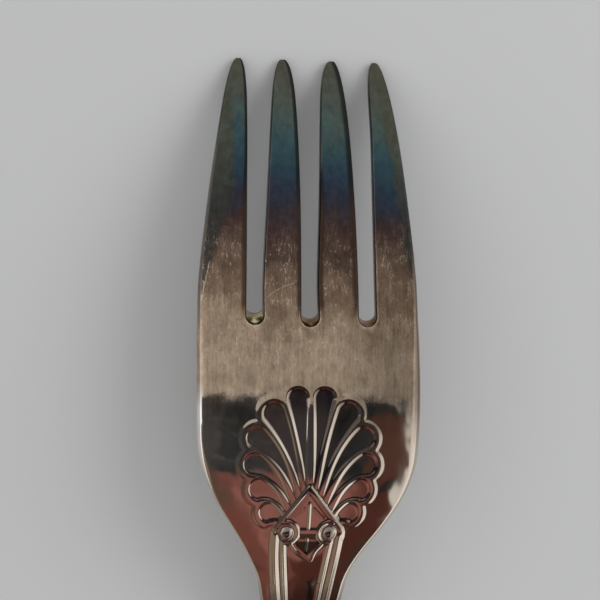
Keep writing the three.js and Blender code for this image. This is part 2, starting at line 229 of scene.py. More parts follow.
def grid(share):
    """x and s of the whole grid, with the outline drawn in by share of the width of its rounded edge.

    Rows run along the fork and columns across it. Above the slots' roots only the tines' columns are used. The
    slots' round roots take three quarters of their turn from the tines' rows and the rest from the gap's columns."""
    edge = TINE_EDGE * share
    root = ROOT_EDGE * share
    end = STEM_EDGE * share
    tip = 0.5 * edge + (STRAIGHT_START - 0.5 * edge) * (np.arange(TIP_ROWS) / TIP_ROWS) ** 2
    side = np.linspace(STRAIGHT_START, ROOT_START, SIDE_ROWS + 1)[:-1]
    turn = np.linspace(0, math.pi / 4, ARC_ROWS + 1)
    arc = ROOT_START + (SLOT_ROOT_HALF + root) * np.sin(turn)
    upper = np.concatenate([tip, side, arc])
    bowl = np.linspace(arc[-1], HEEL_START, BOWL_ROWS + 1)[1:]
    heel = np.linspace(HEEL_START, HEEL_END, HEEL_ROWS + 1)[1:]
    handle = np.linspace(HEEL_END, END_START, HANDLE_ROWS + 1)[1:]
    end_turn = np.linspace(0, END_TURN, END_ROWS + 1)[1:]
    rounded = END_START + (END_LENGTH - end) * np.sin(end_turn)
    s_row = np.concatenate([upper, bowl, heel, handle, rounded])

    outer = side_line(upper) - (side_line(0) - OUTER_TIP_EDGE) * tip_draw(upper)
    open_share = np.clip(1 - upper / SLOT_LENGTH, 0, 1)[:, None]
    middle = SLOT_ROOTS - (SLOT_ROOTS - SLOT_TIPS) * open_share ** SPLAY_POWER
    half = SLOT_ROOT_HALF + SLOT_SPREAD_HALF * open_share ** SPREAD_POWER + TIP_DRAWS * tip_draw(upper)[:, None]
    edges = np.empty((TINE_ROWS + 1, 8))
    edges[:, 0], edges[:, 7] = -outer, outer
    edges[:, 1:7:2], edges[:, 2:7:2] = middle - half, middle + half
    wear = np.stack([through(list(zip(WEAR_STATIONS, shifts)), upper) for shifts in WEAR_SHIFTS], 1)
    edges += wear
    left, right = edges[:, 0::2], edges[:, 1::2]
    drawn = np.broadcast_to(edge, left.shape).copy()
    drawn_left, drawn_right = drawn.copy(), drawn.copy()
    drawn_left[:, 0] = outer_edge(upper) * share
    drawn_right[:, 3] = outer_edge(upper) * share
    ease_in = np.clip((upper - SLOT_LENGTH / 2) / (ROOT_START - SLOT_LENGTH / 2), 0, 1) ** 2
    for k in range(3):
        drawn_right[:, k] += (root - edge) * ease_in
        drawn_left[:, k + 1] += (root - edge) * ease_in
    width = right - left
    scale = width / (width + drawn_left + drawn_right)
    left, right = left + drawn_left * scale, right - drawn_right * scale
    root_x = SLOT_ROOTS + (wear[-1, 1:7:2] + wear[-1, 2:7:2]) / 2
    root_half = SLOT_ROOT_HALF + (wear[-1, 2:7:2] - wear[-1, 1:7:2]) / 2
    for k in range(3):
        reach = (root_half[k] + root) * np.cos(turn)
        right[-ARC_ROWS - 1:, k] = root_x[k] - reach
        left[-ARC_ROWS - 1:, k + 1] = root_x[k] + reach

    x = np.zeros((ROWS + 1, COLUMNS + 1))
    s = np.repeat(s_row[:, None], COLUMNS + 1, axis=1)
    across = np.linspace(0, 1, TINE_COLUMNS + 1)
    for k in range(4):
        columns = slice(k * PERIOD, k * PERIOD + TINE_COLUMNS + 1)
        x[:TINE_ROWS + 1, columns] = left[:, k:k + 1] + (right - left)[:, k:k + 1] * across
    bulge = np.zeros(COLUMNS + 1)
    gap_turn = np.linspace(3 * math.pi / 4, math.pi / 4, GAP_COLUMNS + 1)
    for k in range(3):
        columns = slice(k * PERIOD + TINE_COLUMNS, (k + 1) * PERIOD + 1)
        x[TINE_ROWS, columns] = root_x[k] + (root_half[k] + root) * np.cos(gap_turn)
        bulge[columns] = ROOT_START + (SLOT_ROOT_HALF + root) * np.sin(gap_turn) - arc[-1]

    below = s_row[TINE_ROWS:]
    full = side_line(below) - outer_edge(below) * share
    full[-END_ROWS:] = (HANDLE_HALF - end) * np.cos(end_turn)
    spread = np.linspace(-1, 1, COLUMNS + 1)
    spread = GATHER * spread + (1 - GATHER) * spread ** 3
    even = full[:, None] * spread + through(LEFT_WEAR, below)[:, None] * np.clip(-spread, 0, 1) ** 2
    kept = x[TINE_ROWS] / full[0] * full[:, None]
    blend = rise((below - below[0]) / (EASED_BY - below[0]))[:, None]
    right_edge = share * through(RIGHT_EDGE, below)[:, None] * np.clip(spread, 0, 1) ** 2
    x[TINE_ROWS:] = kept + (even - kept) * blend - right_edge
    s[TINE_ROWS:] += bulge * np.clip(1 - (below[:, None] - below[0]) / BULGE_REACH, 0, 1) ** 2
    s += np.interp(x, SLOT_ROOTS, ROOT_SHIFTS) * np.exp(-((s - SLOT_LENGTH) / ROOT_SHIFT_REACH) ** 2)
    return x, s


def dirt(x, s):
    """How near each point lies to a side of a slot that carries painted shade, from 0 to 1."""
    dark = np.zeros(x.shape)
    down = rise((s[:TINE_ROWS + 1, :1] - SLOT_SHADE_DEEPENS) / SLOT_SHADE_DEEPENING)
    fade = 1 - rise((s[:TINE_ROWS + 1, :1] - SLOT_SHADE_END) / SLOT_SHADE_FADE)
    for k in range(4):
        columns = slice(k * PERIOD, k * PERIOD + TINE_COLUMNS + 1)
        tine = x[:TINE_ROWS + 1, columns]
        for edge, distance in ((2 * k, tine - tine[:, :1]), (2 * k + 1, tine[:, -1:] - tine)):
            reach = SLOT_SHADE_AT_TIPS[edge] + (SLOT_SHADE_AT_ROOTS[edge] - SLOT_SHADE_AT_TIPS[edge]) * down + SLOT_SHADE_LEAST
            near = rise(SLOT_SHADE_SPREAD - distance / reach) * fade * np.clip(reach / SLOT_SHADE_FULL, 0, 1)
            dark[:TINE_ROWS + 1, columns] = np.maximum(dark[:TINE_ROWS + 1, columns], near)
    return dark


def boundary(rows, tine_rows, columns, tine, gap):
    """The outline of the grid as (row, column) pairs in order: up the left side, round each tine and slot, down the
    right side and back along the end of the handle."""
    path = [(np.arange(rows, 0, -1), np.zeros(rows, int))]
    for k in range(4):
        first = k * (tine + gap)
        path.append((np.zeros(tine, int), np.arange(first, first + tine)))
        if k < 3:
            path.append((np.arange(tine_rows), np.full(tine_rows, first + tine)))
            path.append((np.full(gap, tine_rows), np.arange(first + tine, first + tine + gap)))
            path.append((np.arange(tine_rows, 0, -1), np.full(tine_rows, first + tine + gap)))
    path.append((np.arange(rows), np.full(rows, columns)))
    path.append((np.full(columns, rows), np.arange(columns, 0, -1)))
    return tuple(np.concatenate(part) for part in zip(*path))


# The palmette. Twelve scooped lobes fan out from the pediment, each with a raised rim that its neighbour shares
# near the root; the die pushes the metal up into the rims.
PALMETTE_HALF = 9.2
PALMETTE_LENGTH = 12.3
PEDIMENT_TOP = 52.4
LOBE_RADIUS = 1.45
LOBE_ROOT_HALF = 0.1
LOBE_POWER = 1.3
RIM_HEIGHT = 0.05
RIM_FALL = 0.14
RIM_SHOULDER = 0.19
RIM_WIDTH = 0.72
RIM_LEAST, RIM_GROWS, RIM_GROWTH = 0.15, 2.2, 1.2
MIDDLE_RIB = 0.1
WALL_DEPTH = 0.09
SCOOP_DEPTH = 0.14
SCOOP_REACH = 9
LOBE_SHARES = [
    ((0.043, -0.028), (0.109, 0.431), (0.177, 0.847), 0.92),
    ((0.103, -0.08), (0.239, 0.382), (0.489, 0.701), 1.03),
    ((0.168, -0.14), (0.337, 0.293), (0.703, 0.466), 1.0),
    ((0.234, -0.2), (0.413, 0.122), (0.735, 0.214), 1.0),
    ((0.299, -0.262), (0.457, -0.049), (0.662, -0.023), 0.97),
    ((0.27, -0.36), (0.4, -0.268), (0.530, -0.248), 0.9),
]


def nearest(x, s, path):
    """Distance from each point to a path, and how far along the path its nearest point lies, from 0 to 1."""
    path = np.asarray(path, float)
    best = np.full(x.shape, np.inf)
    along = np.zeros(x.shape)
    for i, ((x0, s0), (x1, s1)) in enumerate(zip(path[:-1], path[1:])):
        dx, ds = x1 - x0, s1 - s0
        t = np.clip(((x - x0) * dx + (s - s0) * ds) / (dx * dx + ds * ds), 0, 1)
        distance = np.hypot(x - x0 - t * dx, s - s0 - t * ds)
        closer = distance < best
        best = np.where(closer, distance, best)
        along = np.where(closer, (i + t) / (len(path) - 1), along)
    return best, along


def mound(distance, half):
    """Height of a struck line from 0 to 1: a bell, level on top and at both feet."""
    return (1 - np.clip(distance / half, 0, 1) ** 2) ** 2


def palmette(x, s):
    """Height of the palmette. A lobe is all points nearer to its curved spine than a half width that grows along it.
    Its floor is scooped out. Round the lobes runs a level rim; where two lobes meet, a sharp rib is left between
    them, which is highest where both edges are equally near. The rim is low beside the two middle lobes."""
    first, second = np.full(x.shape, np.inf), np.full(x.shape, np.inf)
    depth = np.zeros(x.shape)
    t = np.linspace(0, 1, 49)[:, None]
    for *places, size in LOBE_SHARES:
        root, turn, end = (np.array([a * PALMETTE_HALF, PEDIMENT_TOP - b * PALMETTE_LENGTH]) for a, b in places)
        spine = (1 - t) ** 2 * root + 2 * t * (1 - t) * turn + t ** 2 * end
        distance, along = nearest(x, s, spine)
        outside = distance - LOBE_ROOT_HALF - (size * LOBE_RADIUS - LOBE_ROOT_HALF) * along ** LOBE_POWER
        ahead = (end - turn) / np.hypot(*(end - turn))
        far = end + ahead * size * LOBE_RADIUS
        inward = np.clip(np.hypot(x - far[0], s - far[1]) / SCOOP_REACH, 0, 1)
        scoop = SCOOP_DEPTH * max(-ahead[1], 0) ** 2 * 4 * inward * (1 - inward)
        depth = np.where(outside < first, WALL_DEPTH + scoop, depth)
        second = np.minimum(second, np.maximum(first, outside))
        first = np.minimum(first, outside)
    second = np.minimum(second, x + first + MIDDLE_RIB)
    floor = rise(-first / RIM_SHOULDER) * rise((second - first) / 2 / RIM_SHOULDER)
    rim = 1 - rise((first - RIM_WIDTH + RIM_FALL) / RIM_FALL)
    rim = rim * (RIM_LEAST + (1 - RIM_LEAST) * rise((x - RIM_GROWS) / RIM_GROWTH))
    return RIM_HEIGHT * rim * (1 - floor) - depth * floor


# The pediment. Its roof line turns down at each corner over a scroll with a boss in its eye, and goes on as the
# outermost reed of the stem. Under it hangs a drop with a V-shaped edge and a short bar in its middle.
PEDIMENT_SLOPE = 1.24
CORNER_X, CORNER_S = 4.2, 57.9
CORNER_EASE = 0.1
ROOF_HALF = 0.3
ROOF_HEIGHT = 0.17
ROOF_EDGE = 0.4
ROOF_PATH = [
    (0, PEDIMENT_TOP), (CORNER_X - 0.65, PEDIMENT_TOP + PEDIMENT_SLOPE * (CORNER_X - 0.65)),
    (CORNER_X - 0.2, CORNER_S - 0.5), (CORNER_X, CORNER_S), (CORNER_X, CORNER_S + 0.7),
]
PLATE_HEIGHT = 0.07
PLATE_END, PLATE_SIDE_FADE, PLATE_ROOF_GAP, PLATE_ROOF_FADE = 58.6, 0.3, 0.2, 0.9
SCROLL_X, SCROLL_S = 2.6, 58.0
SCROLL_TURN = 0.62 * math.pi
SCROLL_STEPS = 28
SCROLL_RADII = [1.05, 1.36, 1.45]
SCROLL_HALF, SCROLL_SWELL = 0.28, 0.08
BOSS_RADIUS = 0.76
BOSS_HEIGHT = 0.46
BAR_HALF, FINE_HALF = 0.19, 0.17
LINE_HEIGHT = 0.14
BARS = [
    ((0, 54.4), (0, 57.3), BAR_HALF, LINE_HEIGHT), ((0.55, 54.95), (1.75, 56.2), FINE_HALF, 0.4 * LINE_HEIGHT),
    ((0, 58.75), (0, 60.0), BAR_HALF, 1.2 * LINE_HEIGHT),
]
MOULDING_S, MOULDING_END = 57.8, 1.25
MOULDING_HALF, MOULDING_FADE, MOULDING_END_FADE = 0.5, 0.2, 0.3
MOULDING_HEIGHT = 0.08
DROP_TOP, DROP_TIP = (1.95, 59.3), (0, 61.55)
DROP_SHARE, DROP_LOSS, DROP_FADES, DROP_FADE = 0.8, 0.4, 60.3, 0.7


def pediment(x, s):
    """Heights of the pediment's lines, the greatest at each point, and the share of the palmette that it hides."""
    roof_line = PEDIMENT_TOP + PEDIMENT_SLOPE * x
    inside = rise((s - roof_line) / ROOF_EDGE + 0.5) * rise((CORNER_X + CORNER_EASE - x) / (2 * CORNER_EASE))
    roof, _ = nearest(x, s, ROOF_PATH)
    inside = np.maximum(inside, rise(2 - roof / ROOF_HALF))
    height = ROOF_HEIGHT * mound(roof, ROOF_HALF)
    turn = np.linspace(SCROLL_TURN, -SCROLL_TURN, SCROLL_STEPS)
    radius = np.interp(turn, [-SCROLL_TURN, 0, SCROLL_TURN], SCROLL_RADII)
    path = np.stack([SCROLL_X - radius * np.cos(turn), SCROLL_S - radius * np.sin(turn)], 1)
    scroll, round_it = nearest(x, s, path)
    scroll_half = SCROLL_HALF + SCROLL_SWELL * np.sin(math.pi * round_it)
    height = np.maximum(height, ROOF_HEIGHT * mound(scroll, scroll_half))
    reach = np.hypot(x - SCROLL_X, s - SCROLL_S)
    height = np.maximum(height, BOSS_HEIGHT * np.sqrt(np.clip(1 - (reach / BOSS_RADIUS) ** 2, 0, 1)))
    bars = np.zeros(x.shape)
    for start, stop, half, tall in BARS:
        bar, _ = nearest(x, s, [start, stop])
        bars = np.maximum(bars, tall * mound(bar, half))
    moulding = rise((MOULDING_HALF - np.abs(s - MOULDING_S)) / MOULDING_FADE)
    moulding = moulding * rise((MOULDING_END - x) / MOULDING_END_FADE)
    height = np.maximum(height, MOULDING_HEIGHT * moulding)
    drop, _ = nearest(x, s, [DROP_TIP, DROP_TOP])
    drop_height = (DROP_SHARE - DROP_LOSS * rise((s - DROP_FADES) / DROP_FADE)) * LINE_HEIGHT
    height = np.maximum(height, drop_height * mound(drop, FINE_HALF))
    plate = rise((CORNER_X - x) / PLATE_SIDE_FADE) * rise((PLATE_END - s) / PLATE_SIDE_FADE)
    plate = PLATE_HEIGHT * plate * rise((s - roof_line - PLATE_ROOF_GAP) / PLATE_ROOF_FADE)
    return height + plate + bars, inside


# The reeds. Three reeds and a thin bead follow each edge of the stem, run out along the handle and round its end.
# Each row holds how far in a reed lies, the widths of its outer and inner flanks, its height and where it starts.
REEDS = [
    (0.08, 0.4, 0.12, 0.16, CORNER_S), (0.24, 0.12, 0.62, 0.275, 57.8), (1.1, 0.15, 0.18, 0.07, 58.7),
    (1.32, 0.24, 0.44, 0.2, 58.9),
]
REED_INSET = 1.0
REED_OUT = 0.05
REED_PLACES = [(59.5, CORNER_X - 0.02), (66.2, 3.5)]
REED_JOIN, REED_PARTED, REED_CLOSE = 76, 100, 0.8
REED_STEPS = (20, 40, 24)
REED_FADE = 0.4
RIGHT_LESS = 0.4


def reeds(x, s, right):
    """Height of the reeds: each is a ridge along a line that keeps its distance from the edge of the handle, with a
    bell-shaped outer flank, narrower where right is 1, and a plane inner flank."""
    height = np.zeros(x.shape)
    for k, (inward, outer_half, inner_half, tall, start) in enumerate(REEDS):
        heel = [(start, CORNER_X + REED_OUT - inward), *((at, place - inward) for at, place in REED_PLACES),
                (REED_JOIN, STEM_HALF - REED_INSET - REED_CLOSE * inward)]
        down = np.linspace(start, REED_JOIN, REED_STEPS[0])
        side = np.linspace(REED_JOIN, END_START, REED_STEPS[1])[1:]
        turn = np.linspace(0, math.pi / 2, REED_STEPS[2])[1:]
        spread = inward * np.interp(side, [REED_JOIN, REED_PARTED], [REED_CLOSE, 1])
        line = np.concatenate([
            np.stack([through(heel, down), down], 1),
            np.stack([side_line(side) - REED_INSET - spread, side], 1),
            np.stack([(HANDLE_HALF - REED_INSET - inward) * np.cos(turn),
                      END_START + (END_LENGTH - REED_INSET - inward) * np.sin(turn)], 1),
        ])
        distance, _ = nearest(x, s, line)
        inner = x < np.interp(s, line[:, 1], line[:, 0])
        outer_flank = mound(distance, outer_half * (1 - RIGHT_LESS * right))
        reed = np.where(inner, 1 - np.clip(distance / inner_half, 0, 1), outer_flank)
        height = np.maximum(height, tall * reed * (rise((s - start) / REED_FADE) if k else 1))
    return height


# The die. It strikes both sides of the middle line alike, apart from the drop's tip, which leans to the right, and
# the right reeds, which run in towards the middle below the pediment.
DROP_LEAN, DROP_HALF = 0.6, 1.8
DROP_LEANS, DROP_LEANING, DROP_END = 60, 1.6, 63
REED_SHIFTS = [(58.5, 0), (60.5, -0.05), (64.8, -0.2), (68, -0.3), (84, 0)]
REED_SHIFT_X = 0.9
SIDE_FADE = 0.5
ROUNDINGS = 2
HOOD_END = 52
LEAST = 1e-6
FOOD_SIDE_STEP = 4
FOOD_SIDE_INSET = 1.4


def struck(x, s):
    """The whole relief on the back, its edges rounded by averaging each point with its neighbours."""
    lean = DROP_LEAN * rise((s - DROP_LEANS) / DROP_LEANING) * rise((DROP_HALF - np.abs(x)) / SIDE_FADE)
    lean = lean * rise(DROP_END - s)
    right = rise(x / SIDE_FADE)
    x = np.abs(x - lean - through(REED_SHIFTS, s) * rise((x - REED_SHIFT_X) / SIDE_FADE))
    height = np.zeros(x.shape)
    rows = (s[:, 0] > HEEL_START - 1) & (s[:, 0] < HEEL_END)
    lines, hidden = pediment(x[rows], s[rows])
    height[rows] = palmette(x[rows], s[rows]) * (1 - hidden) + lines
    rows = s[:, 0] > CORNER_S - 1
    lines = reeds(x[rows], s[rows], right[rows])
    height[rows] = np.where(lines > 0, np.maximum(height[rows], lines), height[rows])
    for _ in range(ROUNDINGS):
        height[1:-1] = (height[:-2] + 2 * height[1:-1] + height[2:]) / 4
        height[:, 1:-1] = (height[:, :-2] + 2 * height[:, 1:-1] + height[:, 2:]) / 4
    return height


def painted_wall_shades(x, s, relief):
    """Share of painted shade on the walls of the relief, by the way they face. Walls that face the tips are painted
    dark, apart from the uppermost ones and those that face far to a side. Above the pediment walls that face the stem
    are painted dark too, and on the right half those that face the tips and the left."""
    along_x = np.gradient(relief, axis=1) / np.maximum(np.gradient(x, axis=1), LEAST)
    along_s = np.gradient(relief, axis=0) / np.maximum(np.gradient(s, axis=0), LEAST)
    steep = np.hypot(along_x, along_s)
    faces_x, faces_y = -along_x / np.maximum(steep, LEAST), along_s / np.maximum(steep, LEAST)
    lip = rise((faces_y - 0.3) / 0.5) * (1 - rise((faces_x - 0.55) / 0.4)) * rise((s - 44.5) / 1.5)
    lip = lip * (1 - rise((-faces_x - 0.3) / 0.4) * (x < 0))
    lip = np.maximum(lip, 0.6 * rise((-faces_y - 0.5) / 0.4) * (s < HOOD_END))
    up_left = rise((faces_y - 0.03) / 0.12) * rise((-faces_x - 0.1) / 0.3) * (x > 0)
    return np.maximum(lip, 0.9 * up_left) * rise((steep - 0.03) / 0.1)


def fork_mesh():
    """Back, rounded edge and food side as one closed mesh; the food side has a quarter of the back's rows and
    columns, and a band of polygons joins it to the edge."""
    x, s = grid(1)
    relief = struck(x, s)
    back = press(x, s, thickness(s) / 2 + relief)
    row, column = np.divmod(np.arange((ROWS + 1) * (COLUMNS + 1)), COLUMNS + 1)
    used = (row >= TINE_ROWS) | (column % PERIOD <= TINE_COLUMNS)
    index = (np.cumsum(used) - 1).reshape(ROWS + 1, COLUMNS + 1)
    cell_row, cell_column = np.divmod(np.arange(ROWS * COLUMNS), COLUMNS)
    real = (cell_row >= TINE_ROWS) | (cell_column % PERIOD < TINE_COLUMNS)
    r, c = cell_row[real], cell_column[real]
    quads = np.stack([index[r, c], index[r + 1, c], index[r + 1, c + 1], index[r, c + 1]], 1)
    on_right = c >= COLUMNS // 2
    quads[on_right] = np.roll(quads[on_right], -1, axis=1)
    quads = [quads]
    points = [back.reshape(-1, 3)[used]]
    # The painted shade along the sides of the slots, kept for the edge's walls too.
    slot_shade_share = dirt(x, s)
    count = used.sum()
    none = np.zeros(count)
    # Attributes for the shader: the relief, painted shade on its walls and along the slots' sides, and on the edge
    # the way it faces, a painted shadow line at the slots' roots and the root walls.
    shades = {"relief": [relief.reshape(-1)[used]], "lip": [painted_wall_shades(x, s, relief).reshape(-1)[used]],
              "dirt": [slot_shade_share.reshape(-1)[used]], "wall": [none], "crack": [none], "root": [none]}

    rim = boundary(ROWS, TINE_ROWS, COLUMNS, TINE_COLUMNS, GAP_COLUMNS)
    inner_x, inner_s = x[rim], s[rim]
    outer_x, outer_s = (part[rim] for part in grid(0))
    size = len(inner_x)
    ring = index[rim]
    facing = np.roll(inner_s, -1) - np.roll(inner_s, 1)
    facing = facing / np.maximum(np.hypot(facing, np.roll(inner_x, -1) - np.roll(inner_x, 1)), LEAST)
    at_root = (rim[0] >= TINE_ROWS - ARC_ROWS) & (rim[0] <= TINE_ROWS) & (rim[1] > 0) & (rim[1] < COLUMNS)
    ends_on = at_root * np.sqrt(np.clip(1 - facing ** 2, 0, 1))
    in_slot = (rim[0] > 0) & (rim[0] <= TINE_ROWS) & (rim[1] > 0) & (rim[1] < COLUMNS)
    lean = in_slot * rise((outer_s - ROOT_START) / LEAN_REACH + 1) * np.interp(outer_x, SLOT_ROOTS, ROOT_LEANS)
    crest = math.sin(math.radians(ROOT_CREST))
    for degrees in RIM_ANGLES:
        angle = math.radians(degrees)
        share = 1 - math.cos(angle)
        rx, rs = outer_x + (inner_x - outer_x) * share, outer_s + (inner_s - outer_s) * share
        rs = rs - lean * max(crest - math.sin(angle), 0) / (crest + 1)
        points.append(press(rx, rs, thickness(inner_s) / 2 * math.sin(angle)))
        # On the edge rings: which way the edge faces, the slots' painted shade, and a painted shadow line across each
        # slot's root wall; root marks the root walls.
        ring_shades = {"wall": facing * (1 - share * (angle > 0)), "dirt": slot_shade_share[rim],
                       "crack": ends_on * np.interp(degrees, [30, 46, 68], [0.1, 1, 0]),
                       "root": rise(2 * ends_on) * (degrees < 35)}
        for name, parts in shades.items():
            parts.append(ring_shades.get(name, np.zeros(size)))
        next_ring = count + np.arange(size)
        count += size
        quads.append(np.stack([ring, np.roll(ring, -1), np.roll(next_ring, -1), next_ring], 1))
        ring = next_ring

    coarse = FOOD_SIDE_STEP
    fx, fs = (part[::coarse, ::coarse] for part in grid(FOOD_SIDE_INSET))
    rows, columns, tine_rows = ROWS // coarse, COLUMNS // coarse, TINE_ROWS // coarse
    tine, gap = TINE_COLUMNS // coarse, GAP_COLUMNS // coarse
    row, column = np.divmod(np.arange((rows + 1) * (columns + 1)), columns + 1)
    used = (row >= tine_rows) | (column % (tine + gap) <= tine)
    index = count + (np.cumsum(used) - 1).reshape(rows + 1, columns + 1)
    cell_row, cell_column = np.divmod(np.arange(rows * columns), columns)
    real = (cell_row >= tine_rows) | (cell_column % (tine + gap) < tine)
    r, c = cell_row[real], cell_column[real]
    quads.append(np.stack([index[r, c], index[r, c + 1], index[r + 1, c + 1], index[r + 1, c]], 1))
    points.append(press(fx, fs, -thickness(fs) / 2).reshape(-1, 3)[used])
    for parts in shades.values():
        parts.append(np.zeros(used.sum()))
    near = index[boundary(rows, tine_rows, columns, tine, gap)]
    far = [ring[(np.arange(len(near)) * coarse + k) % size] for k in range(coarse + 1)]
    band = np.stack([near, *far, np.roll(near, -1)], 1)[:, ::-1]

    points = np.concatenate(points) * MM
    quads = np.concatenate(quads)
    corners = np.concatenate([quads.ravel(), band.ravel()])
    sizes = np.concatenate([np.full(len(quads), 4), np.full(len(band), band.shape[1])])
    mesh = bpy.data.meshes.new("fork_body")
    mesh.vertices.add(len(points))
    mesh.vertices.foreach_set("co", points.astype(np.float32).ravel())
    mesh.loops.add(len(corners))
    mesh.loops.foreach_set("vertex_index", corners.astype(np.int32))
    mesh.polygons.add(len(sizes))
    mesh.polygons.foreach_set("loop_start", (np.cumsum(sizes) - sizes).astype(np.int32))
    mesh.update(calc_edges=True)
    mesh.validate()
    mesh.polygons.foreach_set("use_smooth", np.ones(len(sizes), bool))
    for name, parts in shades.items():
        values = np.concatenate(parts).astype(np.float32)
        mesh.attributes.new(name, "FLOAT", "POINT").data.foreach_set("value", values)
    return mesh


fork = bpy.data.objects.new("fork_body", fork_mesh())
bpy.context.scene.collection.objects.link(fork)
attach(fork, "root")
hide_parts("fork")

# Silver plate. A film of tarnish lies on it, thickest at the tines, where its colour goes through brown, plum and
# blue to grey green as an oil film's does. Rubbing has kept the bowl tan and the heel bright. FILM holds a colour
# for each distance from the tips; a scratch has two ends, a bow and a strength.
class Graph:
    """The nodes of one material or of the world."""

    def __init__(self, owner):
        owner.use_nodes = True
        self.tree = owner.node_tree

    def node(self, kind, settings=None, inputs=(), output=0):
        """Adds a node. Settings are set first, stops being a ramp's; inputs are values or wires, by order or name."""
        made = self.tree.nodes.new(kind)
        for name, value in (settings or {}).items():
            if name == "stops":
                for _ in value[2:]:
                    made.color_ramp.elements.new(0.5)
                for element, (place, colour) in zip(made.color_ramp.elements, value):
                    element.position, element.color = place, (*colour, 1)
            else:
                setattr(made, name, value)
        for key, value in inputs.items() if isinstance(inputs, dict) else enumerate(inputs):
            if isinstance(value, Wire):
                self.tree.links.new(value.socket, made.inputs[key])
            elif value is not None:
                made.inputs[key].default_value = value
        return Wire(self, made.outputs[output])

    def mix(self, share, low, high):
        """Colour low where share is 0 and high where it is 1."""
        low, high = (colour if isinstance(colour, Wire) else (*colour, 1) for colour in (low, high))
        return self.node("ShaderNodeMix", {"data_type": "RGBA"}, {0: share, 6: low, 7: high}, 2)

    def step(self, value, low, high):
        """Goes smoothly from 0 at low to 1 at high."""
        return self.node("ShaderNodeMapRange", {"interpolation_type": "SMOOTHSTEP"}, [value, low, high])

    def noise(self, place, scale, detail=2.0, roughness=0.5):
        """Noise from 0 to 1 at a place in millimetres; scale gives the waves to a millimetre along x, y and z."""
        return self.node("ShaderNodeTexNoise", {"noise_dimensions": "3D"},
                         {"Vector": place * scale, "Scale": 1.0, "Detail": detail, "Roughness": roughness})


class Wire:
    """An output that Python's operators work on: Math for numbers, Vector Math where a vector or colour takes
    part."""

    def __init__(self, graph, socket):
        self.graph, self.socket = graph, socket

    def apply(self, operation, first, second):
        parts = (first, second)
        numbers = [isinstance(part, (int, float)) for part in parts]
        wires = [isinstance(part, Wire) and part.socket.type == "VALUE" for part in parts]
        if all(number or wire for number, wire in zip(numbers, wires)):
            return self.graph.node("ShaderNodeMath", {"operation": operation}, parts)
        parts = [(part,) * 3 if number else part for part, number in zip(parts, numbers)]
        return self.graph.node("ShaderNodeVectorMath", {"operation": operation}, parts)

    def __add__(self, other):
        return self.apply("ADD", self, other)

    def __radd__(self, other):
        return self.apply("ADD", other, self)

    def __sub__(self, other):
        return self.apply("SUBTRACT", self, other)

    def __rsub__(self, other):
        return self.apply("SUBTRACT", other, self)

    def __mul__(self, other):
        return self.apply("MULTIPLY", self, other)

    def __rmul__(self, other):
        return self.apply("MULTIPLY", other, self)

    def __truediv__(self, other):
        return self.apply("DIVIDE", self, other)

    def __pow__(self, other):
        return self.apply("POWER", self, other)

    def at_least(self, other):
        return self.apply("MAXIMUM", self, other)

    def size(self):
        return self.graph.node("ShaderNodeMath", {"operation": "ABSOLUTE"}, [self])


FILM = [
    (0.0, (0.070, 0.066, 0.050)), (4.0, (0.068, 0.074, 0.060)), (8.0, (0.052, 0.078, 0.072)),
    (11.5, (0.034, 0.068, 0.078)), (14.5, (0.026, 0.044, 0.066)), (17.5, (0.030, 0.034, 0.050)),
    (19.5, (0.042, 0.033, 0.036)), (22.5, (0.070, 0.041, 0.036)), (25.0, (0.105, 0.071, 0.054)),
    (28.0, (0.175, 0.118, 0.085)), (31.0, (0.240, 0.170, 0.118)), (34.5, (0.380, 0.285, 0.205)),
    (37.5, (0.440, 0.335, 0.245)), (41.0, (0.430, 0.330, 0.240)), (44.0, (0.560, 0.470, 0.380)),
    (48.0, (0.660, 0.580, 0.490)),
]
FILM_REACH = 48.0
OLIVE = (0.064, 0.066, 0.048)
SOOT = (0.040, 0.043, 0.038)
LEFT_ROOT, MIDDLE_ROOT, RIGHT_ROOT = (0.85, 0.72, 0.44), (0.52, 0.31, 0.14), (0.38, 0.21, 0.10)
BOSS_MARK = (2.6, 58.7)
APEX_S, PIT_S = 52.5, 61.5
SCRATCHES = [((-12.3, 25.3), (-13.4, 30.4), 0.0, 1.0), ((-5.5, 29.75), (-1.95, 27.9), 0.8, 0.6)]


